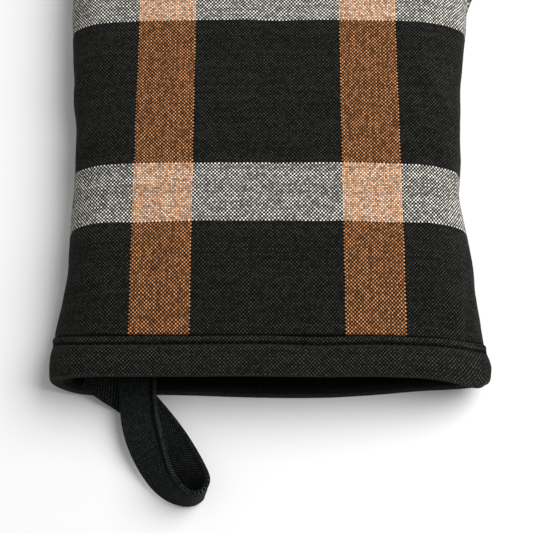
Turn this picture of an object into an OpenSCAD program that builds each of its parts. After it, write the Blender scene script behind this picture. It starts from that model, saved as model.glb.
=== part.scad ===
// Padded oven mitt, lying palm side down with its cuff towards -Y and its thumb towards +X.
// Every layer is a shell between two nested surfaces: skin(t) is the outer face of the mitt
// moved inwards by t, so neighbouring layers share one face exactly.

/* [Mitt] */
// Length from the cuff edge to the fingertips
mitt_length = 335; // [320:1:345]
// Width across the cuff
cuff_width = 184; // [178:1:188]
// Width across the wrist, the narrowest place
wrist_width = 169.6; // [165:0.2:174]
// Width of the finger part
finger_width = 148; // [142:1:152]
// Radius of the thumb's tip
thumb_radius = 25; // [23:0.5:26]
// Height of the side seam above the table
seam_height = 12; // [11:0.5:13]
// Height of the mitt's top above the table
top_height = 28; // [26:0.5:31]

/* [Layers] */
// Thickness of the woven outer cloth
shell_t = 0.9; // [0.7:0.1:1.1]
// Thickness of the wadding away from the cuff
wadding_t = 4.4; // [3.5:0.1:4.8]
// Thickness of the lining cloth
lining_t = 0.7; // [0.5:0.1:0.9]
// Width of the outer cloth turned in at the side seam
seam_allowance = 6; // [5.5:0.5:7]
// Share of its thickness that the wadding keeps where the binding squeezes it
cuff_squeeze = 0.6; // [0.5:0.05:0.8]

/* [Cuff binding] */
// Width of the binding on the outside of the cuff
binding_width = 15; // [13:1:17]
// Thickness of the folded binding
binding_t = 1; // [0.8:0.1:1.1]
// Distance of the stitch line from the binding's upper edge
stitch_inset = 2.6; // [2:0.1:3.5]

/* [Thread] */
// Diameter of the sewing thread
thread_d = 0.5; // [0.4:0.05:0.6]
// Length of one stitch on the surface
stitch_length = 2.6; // [2.2:0.1:2.8]
// Distance from one binding or loop stitch to the next
stitch_pitch = 3.4; // [3.2:0.1:4]
// Distance from one side seam stitch to the next
seam_pitch = 5; // [4:0.5:6]

/* [Hanging loop] */
// Width of the loop's strap
strap_width = 15; // [14:0.5:16]
// Thickness of the folded strap
strap_t = 2; // [1.8:0.1:2.2]

/* [Hidden] */

BACK = -1;
FRONT = 1;

// Depths of the nested surfaces below the outer face
lining_depth = shell_t + wadding_t;
cavity_depth = lining_depth + lining_t;

// How far in from the outline the padding takes to reach its full height
roll = 24;
// The cuff's back panel stands on its binding, so it is lifted by a little more than the binding
cuff_lift = binding_t + 0.1;
// The lift and the squeeze of the cuff fade out between these two distances from its edge
fade_start = binding_width;
fade_end = 2.4 * binding_width;
// Clearance between the binding and the cloth that it wraps
binding_gap = 0.1;
// How far the binding's fold stands out past the edge of the cloth
fold_depth = 1.2;

// Outline of the hand: distance from the centre line against distance from the cuff
thumb_base_y = 178;
edge_marks = [[0, cuff_width / 2], [25, cuff_width / 2 - 1.6], [52, wrist_width / 2 + 3],
              [82, wrist_width / 2], [109, wrist_width / 2 + 2], [139, wrist_width / 2 + 3.7],
              [thumb_base_y, wrist_width / 2 + 7.4]];
finger_centre_x = -12;
finger_cap_height = 73;
finger_cap_y = mitt_length - finger_cap_height;
left_marks = concat(edge_marks, [[222, finger_width / 2 - finger_centre_x + 3.4],
                                 [finger_cap_y, finger_width / 2 - finger_centre_x]]);

// Outline of the thumb
thumb_lean = 27.5;
thumb_centre = [104, 246];
thumb_along = [sin(thumb_lean), cos(thumb_lean)];
thumb_out = [cos(thumb_lean), -sin(thumb_lean)];
crotch = [69, 222];

// Grid over the mitt: columns across the hand, and rows in four stretches up to the fingertips
columns = 16;
rows_to_thumb = 15;
thumb_columns = 6;
rows_to_cap = 3;
rows_in_cap = 7;
thumb_rows_to_tip = 4;
thumb_rows_in_tip = 5;
thumb_rows = thumb_rows_to_tip + thumb_rows_in_tip;
row_thumb = rows_to_thumb;
row_crotch = row_thumb + thumb_columns;
row_cap = row_crotch + rows_to_cap;
rows = row_cap + rows_in_cap;
last_cap_angle = 84;
last_tip_angle = 80;

// Rows near the cuff lie on the binding's edge and on its fold
cuff_row_pitch = binding_width / 2;

function mix(a, b, s) = a + (b - a) * s;
function smooth(s) = let (c = min(max(s, 0), 1)) c * c * (3 - 2 * c);

// A smooth curve through marks [x, value], read at x
function slope_at(m, i) = i == 0 || i == len(m) - 1 ? 0 : (m[i + 1][1] - m[i - 1][1]) / (m[i + 1][0] - m[i - 1][0]);
function mark_before(m, x) = max([for (i = [0 : len(m) - 2]) m[i][0] <= x ? i : 0]);
function curve_at(m, x) =
    let (i = mark_before(m, x), w = m[i + 1][0] - m[i][0], s = (x - m[i][0]) / w,
         a = m[i][1], b = m[i + 1][1], p = slope_at(m, i) * w, q = slope_at(m, i + 1) * w)
    a + p * s + (3 * (b - a) - 2 * p - q) * s * s + (p + q - 2 * (b - a)) * s * s * s;

function bezier(p, s) =
    p[0] * pow(1 - s, 3) + p[1] * 3 * s * pow(1 - s, 2) + p[2] * 3 * s * s * (1 - s) + p[3] * pow(s, 3);

// Outline moved inwards by t
function left_x(y, t) = -curve_at(left_marks, y) + t;
function right_x(y, t) = curve_at(edge_marks, y) - t;
function crotch_at(t) = [crotch[0], crotch[1] - 1.6 * t];
function finger_side_x(y, t) =
    mix(crotch_at(t)[0], finger_centre_x + finger_width / 2 - t,
        smooth(1.5 * (y - crotch_at(t)[1]) / (finger_cap_y - crotch_at(t)[1])));

// Row j of the hand: [left x, right x, y]
function hand_row(j, t) =
    j <= row_thumb ?
        let (y = j <= 3 ? j * cuff_row_pitch
                        : mix(3 * cuff_row_pitch, thumb_base_y, (j - 3) / (row_thumb - 3)))
        [left_x(y, t), right_x(y, t), y]
    : j <= row_crotch ?
        let (s = (j - row_thumb) / thumb_columns, y = mix(thumb_base_y, crotch_at(t)[1], s))
        [left_x(y, t), mix(right_x(thumb_base_y, t), crotch_at(t)[0], s), y]
    : j <= row_cap ?
        let (y = mix(crotch_at(t)[1], finger_cap_y, (j - row_crotch) / rows_to_cap))
        [left_x(y, t), finger_side_x(y, t), y]
    :
        let (a = last_cap_angle * (j - row_cap) / rows_in_cap, r = finger_width / 2 - t)
        [finger_centre_x - r * cos(a), finger_centre_x + r * cos(a),
         finger_cap_y + (finger_cap_height - t) * sin(a)];

// Columns stand closer together near the side seams, where the cloth turns
function column_share(i) = let (u = i / columns) 0.2 * u + 0.8 * (1 - cos(180 * u)) / 2;

// Thumb row m: [outer edge point, inner edge point]
function thumb_row(m, t) =
    m <= thumb_rows_to_tip ?
        let (s = m / thumb_rows_to_tip, r = thumb_radius - t,
             outer = thumb_centre + thumb_out * r, inner = thumb_centre - thumb_out * r,
             base = [right_x(thumb_base_y, t), thumb_base_y])
        [bezier([base, base + [2.4, 16], outer - thumb_along * 20, outer], s),
         bezier([crotch_at(t), crotch_at(t) + [2.5, 9], inner - thumb_along * 12, inner], s)]
    :
        let (a = last_tip_angle * (m - thumb_rows_to_tip) / thumb_rows_in_tip, r = thumb_radius - t)
        [thumb_centre + thumb_out * r * cos(a) + thumb_along * r * sin(a),
         thumb_centre - thumb_out * r * cos(a) + thumb_along * r * sin(a)];

function hand_plan(t) =
    [for (j = [0 : rows]) let (r = hand_row(j, t))
        for (i = [0 : columns]) [mix(r[0], r[1], column_share(i)), r[2]]];
function thumb_plan(t) =
    [for (m = [1 : thumb_rows]) let (r = thumb_row(m, t))
        for (k = [0 : thumb_columns]) mix(r[0], r[1], k / thumb_columns)];

hand_points = (rows + 1) * (columns + 1);
skin_points = hand_points + thumb_rows * (thumb_columns + 1);
function hand_index(i, j) = j * (columns + 1) + i;
function thumb_index(m, k) =
    m == 0 ? hand_index(columns, row_thumb + k) : hand_points + (m - 1) * (thumb_columns + 1) + k;

// Indices round the outline, from the cuff's right corner round to its left corner
rim = concat(
    [for (j = [0 : row_thumb]) hand_index(columns, j)],
    [for (m = [1 : thumb_rows]) thumb_index(m, 0)],
    [for (k = [1 : thumb_columns]) thumb_index(thumb_rows, k)],
    [for (m = [thumb_rows - 1 : -1 : 1]) thumb_index(m, thumb_columns)],
    [for (j = [row_crotch : rows]) hand_index(columns, j)],
    [for (i = [columns - 1 : -1 : 0]) hand_index(i, rows)],
    [for (j = [rows - 1 : -1 : 0]) hand_index(0, j)]);
cuff_edge = [for (i = [0 : columns]) hand_index(i, 0)];

function segment_distance(p, a, b) =
    let (v = b - a, s = min(max((p - a) * v / (v * v), 0), 1)) norm(p - a - v * s);
function line_distance(p, line) =
    min([for (i = [0 : len(line) - 2]) segment_distance(p, line[i], line[i + 1])]);

// Height of the padding: a quarter ellipse over the roll, then flat
function rise(d, t) = let (s = min(max(d / (roll - t), 0), 1)) sqrt(1 - (1 - s) * (1 - s));

function cuff_share(y) = 1 - smooth((y - fade_start) / (fade_end - fade_start));
function depth_at(y, t) = t <= 0 ? t : t * mix(1, cuff_squeeze, cuff_share(y));

// Height at plan point p, which is d in from the outline of surface t; side is FRONT or BACK
function height_at(p, d, t, side) =
    let (flange = t > 0 ? shell_t : 0,
         reach = side == FRONT ? top_height - seam_height - cuff_lift * cuff_share(p[1])
                               : seam_height - cuff_lift * cuff_share(p[1]))
    seam_height + side * mix(flange, reach - depth_at(p[1], t), rise(d, t));

function skin(t, side) =
    let (plan = concat(hand_plan(t), thumb_plan(t)), line = [for (i = rim) plan[i]])
    [for (i = [0 : skin_points - 1])
        let (p = plan[i], d = line_distance(p, line)) [p[0], p[1], height_at(p, d < 1e-6 ? 0 : d, t, side)]];

// Two triangles for each quad of the grid
function quad(a, b, c, d) = [[a, b, c], [a, c, d]];
function flip(faces) = [for (f = faces) [f[2], f[1], f[0]]];
function join(lists) = [for (l = lists) for (f = l) f];
skin_faces = join(concat(
    [for (j = [0 : rows - 1]) for (i = [0 : columns - 1])
        quad(hand_index(i, j), hand_index(i + 1, j), hand_index(i + 1, j + 1), hand_index(i, j + 1))],
    [for (m = [0 : thumb_rows - 1]) for (k = [0 : thumb_columns - 1])
        quad(thumb_index(m, k), thumb_index(m + 1, k), thumb_index(m + 1, k + 1), thumb_index(m, k + 1))]));
function shifted(faces, by) = [for (f = faces) [for (i = f) i + by]];

// A wall between two equally long lists of indices
function wall(a, b) = join([for (i = [0 : len(a) - 2]) quad(a[i], b[i], b[i + 1], a[i + 1])]);

// A layer between surfaces t0 (outer) and t1 (inner) of one side
module layer(t0, t1, side) {
    outer = skin(t0, side);
    inner = skin(t1, side);
    inner_rim = [for (i = rim) i + skin_points];
    inner_cuff = [for (i = cuff_edge) i + skin_points];
    faces = concat(skin_faces, flip(shifted(skin_faces, skin_points)),
                   wall(rim, inner_rim), wall(cuff_edge, inner_cuff));
    polyhedron(concat(outer, inner), side == FRONT ? flip(faces) : faces);
}

// The outer cloth, with the seam allowance turned in as a flat flange all round the side seam
module shell_layer(side) {
    outer = skin(0, side);
    inner = skin(shell_t, side);
    plan = concat(hand_plan(shell_t + seam_allowance), thumb_plan(shell_t + seam_allowance));
    low = [for (i = rim) [plan[i][0], plan[i][1], seam_height]];
    high = [for (p = low) [p[0], p[1], seam_height + side * shell_t]];
    n = len(rim);
    inner_rim = [for (i = rim) i + skin_points];
    inner_cuff = [for (i = cuff_edge) i + skin_points];
    low_rim = [for (i = [0 : n - 1]) 2 * skin_points + i];
    high_rim = [for (i = low_rim) i + n];
    right_end = quad(rim[0], inner_rim[0], high_rim[0], low_rim[0]);
    left_end = quad(rim[n - 1], low_rim[n - 1], high_rim[n - 1], inner_rim[n - 1]);
    faces = concat(skin_faces, flip(shifted(skin_faces, skin_points)),
                   wall(rim, low_rim), wall(low_rim, high_rim), wall(high_rim, inner_rim),
                   wall(cuff_edge, inner_cuff), right_end, left_end);
    polyhedron(concat(outer, inner, low, high), side == FRONT ? flip(faces) : faces);
}

// Point on the cuff at a plan inset and a depth below the outer face; u runs 0 to 1 across
function cuff_point(u, y, inset, depth, side) =
    let (yy = max(y, 0), l = left_x(yy, inset), r = right_x(yy, inset), x = mix(l, r, u),
         reach = (side == FRONT ? top_height - seam_height : seam_height) - cuff_lift)
    [x, y, seam_height + side * (reach - depth) * rise(min(x - l, r - x), inset)];

// Ring position q runs 0 to 1 left to right over the front, then 1 to 2 back under the back
function ring_point(q, y, face) =
    q <= 1 ? cuff_point(q, y, face[0], face[1], FRONT) : cuff_point(2 - q, y, face[0], face[1], BACK);

binding_steps = 2 * columns;
function binding_q(n) = n <= columns ? column_share(n) : 2 - column_share(2 * columns - n);

// [inset, depth] of the four faces of the folded binding, outermost first
face_out = [-binding_gap - binding_t, -binding_gap - binding_t];
face_over = [-binding_gap, -binding_gap];
face_under = [shell_t + seam_allowance + 0.2, cavity_depth * cuff_squeeze + 0.15];
face_in = [face_under[0] + binding_t, face_under[1] + binding_t];

// The binding's section, from its outer leg's upper edge round the fold to its inner leg and back
function binding_section(q) =
    [ring_point(q, binding_width, face_out), ring_point(q, binding_width / 2, face_out),
     ring_point(q, 0, face_out), ring_point(q, -fold_depth, mix(face_out, face_in, 0.22)),
     ring_point(q, -fold_depth, mix(face_out, face_in, 0.78)), ring_point(q, 0, face_in),
     ring_point(q, binding_width / 2, face_in), ring_point(q, binding_width, face_in),
     ring_point(q, binding_width, face_under), ring_point(q, binding_width / 2, face_under),
     ring_point(q, -binding_gap, face_under), ring_point(q, -binding_gap, face_over),
     ring_point(q, binding_width / 2, face_over), ring_point(q, binding_width, face_over)];

// A solid swept through equally long closed sections; closed joins the last section to the first
module sweep(sections, closed) {
    n = len(sections);
    k = len(sections[0]);
    sides = join([for (a = [0 : n - (closed ? 1 : 2)]) for (b = [0 : k - 1])
        quad(a * k + b, ((a + 1) % n) * k + b, ((a + 1) % n) * k + (b + 1) % k, a * k + (b + 1) % k)]);
    ends = closed ? [] : [[for (b = [0 : k - 1]) b], [for (b = [k - 1 : -1 : 0]) (n - 1) * k + b]];
    polyhedron(join(sections), concat(sides, ends));
}

// The loop's hinge: the line beyond the cuff's fold where both ends of the strap leave the mitt
floor_z = cuff_lift + face_in[1];
hinge_y = -2.6;
hinge_z = floor_z + strap_t;
// How far the moving strap and its sewn ends keep from the hinge line
moving_gap = 0.3;
sewn_gap = 2.15;

// Stations along the loop, from its upper end round the bend to its lower end: [left edge, right edge]
upper_end = [[-61.5, hinge_y - moving_gap, hinge_z + strap_t / 2],
             [-61.5 + strap_width, hinge_y - moving_gap, hinge_z + strap_t / 2]];
lower_end = [[-69.5, hinge_y - moving_gap, hinge_z - strap_t / 2],
             [-69.5 + 1.5 * strap_width, hinge_y - moving_gap, hinge_z - strap_t / 2]];
strap_stations = [
    upper_end, [[-60, -11, 7.8], [-44.5, -10.5, 10]], [[-56.5, -26, 5.5], [-42.5, -21.5, 11]],
    [[-48.5, -39.5, 3], [-39, -33, 12.5]], [[-40, -46, 1.5], [-35.5, -41, 15]],
    [[-33, -48, 1.1], [-31, -45, 16]], [[-27, -46.5, 1.1], [-25.5, -44.5, 16]],
    [[-26.5, -43.5, 1.1], [-23.5, -39.5, 15.5]], [[-33, -41.3, 1.1], [-25.8, -33, 12]],
    [[-41, -33, 1.1], [-30.3, -24.3, 8.3]], [[-49, -22, 1.1], [-37, -13, 6.4]],
    [[-59.5, -11, 2], [-43, -6, 6.2]], lower_end];

// A smooth curve through marks, read at position s counted in marks
function curve_point(m, s) =
    let (i = min(floor(s), len(m) - 2), f = s - i, a = m[max(i - 1, 0)], b = m[i], c = m[i + 1],
         d = m[min(i + 2, len(m) - 1)])
    b + 0.5 * f * (c - a + f * (2 * a - 5 * b + 4 * c - d + f * (3 * (b - c) + d - a)));

strap_steps = 3;
left_edge = [for (s = strap_stations) s[0]];
right_edge = [for (s = strap_stations) s[1]];
strap_places = [for (i = [0 : strap_steps * (len(strap_stations) - 1)]) i / strap_steps];
left_line = [for (s = strap_places) curve_point(left_edge, s)];
right_line = [for (s = strap_places) curve_point(right_edge, s)];
function unit(v) = v / norm(v);
function along(line, i) = line[min(i + 1, len(line) - 1)] - line[max(i - 1, 0)];
strap_normals = [for (i = [0 : len(left_line) - 1])
    i == 0 || i == len(left_line) - 1 ? [0, 0, i == 0 ? 1 : -1]
    : unit(cross(along(left_line, i) + along(right_line, i), right_line[i] - left_line[i]))];

// The strap's section at place i
function strap_section(i) =
    let (h = strap_normals[i] * strap_t / 2)
    [left_line[i] - h, right_line[i] - h, right_line[i] + h, left_line[i] + h];

// The loop's edge stitches run inside its right edge, on its outer face
stitch_line = [for (i = [0 : len(left_line) - 1])
    right_line[i] + unit(left_line[i] - right_line[i]) * 2.2 + strap_normals[i] * strap_t / 2];

// Point and direction on a line of points, s along it
function steps_of(line) = [for (i = 0, s = 0; i < len(line); s = s + (i < len(line) - 1 ?
    norm(line[i + 1] - line[i]) : 0), i = i + 1) s];
function place_on(line, steps, s) =
    let (i = min(max([for (k = [0 : len(line) - 2]) steps[k] <= s ? k : 0]), len(line) - 2),
         v = line[i + 1] - line[i])
    [line[i] + v * (s - steps[i]) / norm(v), unit(v)];

// One straight piece of thread through p along d
module thread(p, d, length) {
    translate(p) rotate([0, acos(d[2]), atan2(d[1], d[0])])
        cylinder(h = length, d = thread_d, center = true, $fn = 16);
}

// Stitches lying on a line of points
module stitches_on(line, pitch) {
    steps = steps_of(line);
    count = floor(steps[len(steps) - 1] / pitch);
    for (n = [0 : count - 1]) {
        place = place_on(line, steps, (n + 0.5) * steps[len(steps) - 1] / count);
        thread(place[0], place[1], stitch_length);
    }
}

// Stitches going straight down through the side seam, inset from the outline
module stitches_through_seam(inset, length) {
    plan = concat(hand_plan(inset), thumb_plan(inset));
    line = [for (i = rim) [plan[i][0], plan[i][1], seam_height]];
    steps = steps_of(line);
    start = binding_width + seam_pitch / 2;
    count = floor((steps[len(steps) - 1] - 2 * start) / seam_pitch);
    for (n = [0 : count])
        thread(place_on(line, steps, start + n * seam_pitch)[0], [0, 0, 1], length);
}

// Everything is drawn about the cuff's middle, then moved so that the origin is under the middle
reach_points = concat([for (p = hand_plan(0)) p], [for (p = thumb_plan(0)) p],
                      [for (p = left_line) [p[0], p[1]]], [[-cuff_width / 2 + face_out[0], 0]]);
middle = [(min([for (p = reach_points) p[0]]) + max([for (p = reach_points) p[0]])) / 2,
          (min([for (p = reach_points) p[1]]) + max([for (p = reach_points) p[1]])) / 2];
module place() { translate([-middle[0], -middle[1], 0]) children(); }

module front_shell() { color([0.16, 0.16, 0.15]) place() shell_layer(FRONT); }
module back_shell() { color([0.16, 0.16, 0.15]) place() shell_layer(BACK); }
module front_wadding() { color([0.92, 0.9, 0.85]) place() layer(shell_t, lining_depth, FRONT); }
module back_wadding() { color([0.92, 0.9, 0.85]) place() layer(shell_t, lining_depth, BACK); }
module front_lining() { color([0.06, 0.06, 0.06]) place() layer(lining_depth, cavity_depth, FRONT); }
module back_lining() { color([0.06, 0.06, 0.06]) place() layer(lining_depth, cavity_depth, BACK); }

module cuff_binding() {
    color([0.11, 0.12, 0.11]) place()
        sweep([for (n = [0 : binding_steps - 1]) binding_section(binding_q(n))], true);
}

module binding_stitches() {
    color([0.07, 0.07, 0.07]) place()
        stitches_on([for (n = [0 : binding_steps])
            ring_point(binding_q(n), binding_width - stitch_inset, face_out)], stitch_pitch);
}

module shell_seam_stitches() {
    color([0.07, 0.07, 0.07]) place() stitches_through_seam(2.2, 2 * shell_t + 0.4);
}

module lining_seam_stitches() {
    color([0.07, 0.07, 0.07]) place()
        stitches_through_seam(lining_depth + lining_t / 2, 2 * shell_t + lining_t);
}

module hanging_loop() {
    color([0.07, 0.08, 0.07]) place()
        sweep([for (i = [0 : len(left_line) - 1]) strap_section(i)], false);
}

module loop_edge_stitches() {
    color([0.05, 0.05, 0.05]) place() stitches_on(stitch_line, stitch_pitch);
}

// Both ends of the strap lie on the binding inside the mouth, the upper one on the lower one
module loop_sewn_ends() {
    front_y = hinge_y + sewn_gap;
    color([0.07, 0.08, 0.07]) place() {
        translate([upper_end[0][0], front_y, hinge_z]) cube([strap_width, 12.5, strap_t]);
        translate([0, 0, hinge_z - strap_t]) linear_extrude(strap_t)
            polygon([[lower_end[0][0], front_y], [lower_end[1][0], front_y],
                     [lower_end[1][0] - 4, front_y + 9], [lower_end[0][0], front_y + 9]]);
    }
}

module loop_bartack() {
    color([0.05, 0.05, 0.05]) place()
        for (n = [0 : 8])
            thread([upper_end[0][0] + strap_width * (n + 1.5) / 11, 7, hinge_z + strap_t], [0, 1, 0], 3);
}

front_shell();
front_wadding();
front_lining();
back_shell();
back_wadding();
back_lining();
cuff_binding();
binding_stitches();
shell_seam_stitches();
lining_seam_stitches();
hanging_loop();
loop_edge_stitches();
loop_sewn_ends();
loop_bartack();
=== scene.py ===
"""Looks of a padded oven mitt: plaid cloth over wadding, a bound cuff and a strap loop.

Lengths are in millimetres about the middle of the cuff's edge until a mesh is made, because
that is how a sewing pattern is drawn. make_mesh() turns them into metres in the row frame.
"""

import math

import bpy
import numpy as np
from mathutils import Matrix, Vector, noise


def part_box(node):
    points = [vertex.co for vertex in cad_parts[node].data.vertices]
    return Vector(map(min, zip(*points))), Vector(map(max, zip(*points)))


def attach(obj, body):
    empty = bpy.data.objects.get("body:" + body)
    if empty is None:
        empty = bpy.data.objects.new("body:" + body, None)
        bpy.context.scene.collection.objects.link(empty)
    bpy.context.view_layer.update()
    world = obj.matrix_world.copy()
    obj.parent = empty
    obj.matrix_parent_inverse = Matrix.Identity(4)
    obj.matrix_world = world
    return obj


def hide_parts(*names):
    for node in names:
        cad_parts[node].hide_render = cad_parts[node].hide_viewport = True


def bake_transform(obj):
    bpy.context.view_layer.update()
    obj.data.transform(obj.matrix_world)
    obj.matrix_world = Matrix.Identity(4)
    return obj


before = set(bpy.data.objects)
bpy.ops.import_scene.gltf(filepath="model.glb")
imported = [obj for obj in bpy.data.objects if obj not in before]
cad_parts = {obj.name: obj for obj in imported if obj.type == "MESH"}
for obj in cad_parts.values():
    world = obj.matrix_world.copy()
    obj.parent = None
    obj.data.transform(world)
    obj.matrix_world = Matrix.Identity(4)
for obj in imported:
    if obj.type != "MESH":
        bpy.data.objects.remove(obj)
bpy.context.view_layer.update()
bpy.context.scene.view_settings.view_transform = "Standard"

MM = 0.001
CUFF_LOW, CUFF_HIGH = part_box("cuff_binding")
# How far the CAD binding's fold stands below the cuff's edge
FOLD_DEPTH = 1.2
# The middle of the cuff's edge, in metres in the row frame
ORIGIN = np.array([(CUFF_LOW.x + CUFF_HIGH.x) / 2, CUFF_LOW.y + FOLD_DEPTH * MM, 0])

# The mitt's two sides, as the direction that each one's outer face looks in
FRONT, BACK = 1, -1

# Heights of the seam and the top, and depths below the outer face
SEAM_Z, TOP_Z = 12.0, 28.0
SHELL_T, LINING_DEPTH, CAVITY_DEPTH = 0.9, 5.3, 6.0
# How far in from the seam each side takes to rise to its full height
ROLL = 24.0
# Under the binding the cloth lies lower and the padding is squeezed; this fades out up the mitt
CUFF_LIFT, CUFF_SQUEEZE = 1.1, 0.6
CUFF_FADE_START, CUFF_FADE = 15.0, 21.0

# Outline: distance of each edge from the centre line, against distance from the cuff's edge
LEFT_EDGE = [
    (0, 88.6), (15, 89), (25, 88), (38, 86.9), (52, 86.5), (66, 86), (80, 85.1), (94, 85.1), (109, 85.8),
    (122, 86.4), (139, 88), (163, 90), (187, 91.1), (222, 89.8), (262, 86),
]
RIGHT_EDGE = [
    (0, 91.5), (8, 92), (15, 91.4), (21, 90.3), (29, 90.4), (38, 90.4), (52, 89.4), (66, 87.7), (80, 86.1),
    (94, 85.6), (109, 86.6), (122, 87.8), (139, 89), (163, 91.3), (178, 92.8),
]
# How the cuff lies, against distance across: how far its front and its back are drawn up the mitt,
# how far the front's rim dips back below that, and how much lower the front lies
FRONT_DRAWN = [
    (-93, 5), (-87, 3), (-80, 1.7), (-70, 0.8), (-56, 0.2), (-40, 0), (80, 0), (93, 0.4),
]
BACK_DRAWN = [
    (-93, 4.2), (-87, 2), (-80, 0.2), (-72, -0.2), (-60, 0.3), (-45, 0.7), (-30, 0.2), (-16, -0.8),
    (0, -1.3), (25, -1.4), (38, -0.3), (55, 1.7), (68, 3.2), (78, 3.6), (86, 3.4), (93, 3),
]
FRONT_DIPS = [(60, 0), (76, 1.1), (85, 2.1), (88.5, 1.7), (91, -0.4), (93, -3)]
FRONT_LOWER = [(-93, 1.2), (-70, 0.8), (-45, 0), (42, 0), (68, 2.6), (82, 4.6), (93, 5)]
# From this height up, over the blend, the cuff's back gives way to its front
MOUTH_Z, MOUTH_BLEND = 9, 6
# The rim is drawn up by a share of what the cloth further up is, and beyond that it fades
RIM_DRAWN, DRAWN_MOST, DRAWN_FADE, DIP_FADE = 0.7, 13, 45, 11
# The lowering grows over a height above the seam, and fades up the mitt from a start
LOWER_RISE, LOWER_FADE_START, LOWER_FADE = 12, 6, 60

# Fingers and thumb: round ends on straight sides, joined by a crotch
THUMB_BASE_Y = 178.0
FINGER_CENTRE_X = -12.0
FINGER_RADIUS = 74.0
CAP_HEIGHT = 73.0
CAP_Y = 262.0
THUMB_RADIUS = 25.0
THUMB_LEAN = math.radians(27.5)
THUMB_CENTRE = np.array([104.0, 246.0])
THUMB_ALONG = np.array([math.sin(THUMB_LEAN), math.cos(THUMB_LEAN)])
THUMB_OUT = np.array([math.cos(THUMB_LEAN), -math.sin(THUMB_LEAN)])
CROTCH = np.array([69.0, 222.0])
# The crotch of a deeper layer is this many times its depth further down
CROTCH_DROP = 1.6
# How far round their ends the rows of the fingers and the thumb go
CAP_TURN, TIP_TURN = math.radians(86), math.radians(82)
# Handles of the curves along the thumb's outer and inner edge: from its base, and back from its end
OUTER_BASE_HANDLE, OUTER_END_HANDLE = np.array([2.4, 16]), 20
INNER_BASE_HANDLE, INNER_END_HANDLE = np.array([2.5, 9]), 12

# Grid: columns across the hand and rows up it, in stretches
COLUMNS = 56
CUFF_ROWS = 8
ROWS_TO_THUMB = 60
THUMB_COLUMNS = 16
ROWS_TO_CAP = 12
ROWS_IN_CAP = 26
THUMB_ROWS_TO_TIP = 20
THUMB_ROWS_IN_TIP = 10
ROW_CROTCH = ROWS_TO_THUMB + THUMB_COLUMNS
ROW_CAP = ROW_CROTCH + ROWS_TO_CAP
ROWS = ROW_CAP + ROWS_IN_CAP
THUMB_ROWS = THUMB_ROWS_TO_TIP + THUMB_ROWS_IN_TIP
# Height of the first rows of the grid, which lie under the binding
BINDING_TOP = 15.9
# How far inside the binding's fold the layers that it wraps stop
EDGE_INSIDE = 3.0

# Plaid: threads across and up the mitt, and the stripes that they make
WARP_PITCH, WEFT_PITCH = 0.77, 0.83
WARP_STRIPE = dict(pitch=89.0, middle=44.5, half=12.5)
WEFT_STRIPE = dict(pitch=98.2, middle=80.3, half=13.6)


# ---- small maths


def mix(a, b, s):
    return a + (b - a) * s


def bell(d, width):
    """1 where d is 0, falling off over about width on both sides."""
    return np.exp(-((d / width) ** 2))


def smooth(s):
    s = np.clip(s, 0, 1)
    return s * s * (3 - 2 * s)


def fade(y, start, reach):
    """1 up to start, falling to 0 over reach."""
    return 1 - smooth((y - start) / reach)


def curve_at(marks, x):
    """A smooth curve through (x, value) marks, read at x."""
    xs, ys = (np.array(c, float) for c in zip(*marks))
    slopes = np.zeros(len(xs))
    slopes[1:-1] = (ys[2:] - ys[:-2]) / (xs[2:] - xs[:-2])
    x = np.clip(x, xs[0], xs[-1])
    i = np.clip(np.searchsorted(xs, x, side="right") - 1, 0, len(xs) - 2)
    w = xs[i + 1] - xs[i]
    s = (x - xs[i]) / w
    a, b, p, q = ys[i], ys[i + 1], slopes[i] * w, slopes[i + 1] * w
    return a + p * s + (3 * (b - a) - 2 * p - q) * s**2 + (p + q - 2 * (b - a)) * s**3


def bezier(points, s):
    a, b, c, d = points
    return a * (1 - s) ** 3 + 3 * b * s * (1 - s) ** 2 + 3 * c * s**2 * (1 - s) + d * s**3


def curve_through(points, s):
    """A smooth curve through points, read at s counted in points."""
    p = np.asarray(points, float)
    s = np.asarray(s, float)
    i = np.clip(np.floor(s).astype(int), 0, len(p) - 2)
    f = (s - i).reshape(-1, *[1] * (p.ndim - 1))
    a, b, c, d = p[np.maximum(i - 1, 0)], p[i], p[i + 1], p[np.minimum(i + 2, len(p) - 1)]
    return b + 0.5 * f * (c - a + f * (2 * a - 5 * b + 4 * c - d + f * (3 * (b - c) + d - a)))


def ripple(points, size, seed):
    """Smooth noise between about -1 and 1 at each point; size is its wavelength in millimetres."""
    offset = Vector((seed * 17.3, seed * 5.1, seed * 9.7))
    return np.array([noise.noise(Vector(p) / size + offset) for p in points])


def run_along(line):
    """Distance of each point of a line from its first, along the line."""
    return np.concatenate([[0], np.cumsum(np.linalg.norm(np.diff(line, axis=0), axis=1))])


def unit(v):
    return v / np.maximum(np.linalg.norm(v, axis=-1, keepdims=True), 1e-9)


# ---- the mitt's plan


def left_x(y, t):
    return -curve_at(LEFT_EDGE, y) + t


def right_x(y, t):
    return curve_at(RIGHT_EDGE, y) - t


def crotch_at(t):
    return CROTCH - np.array([0, CROTCH_DROP * t])


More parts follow.
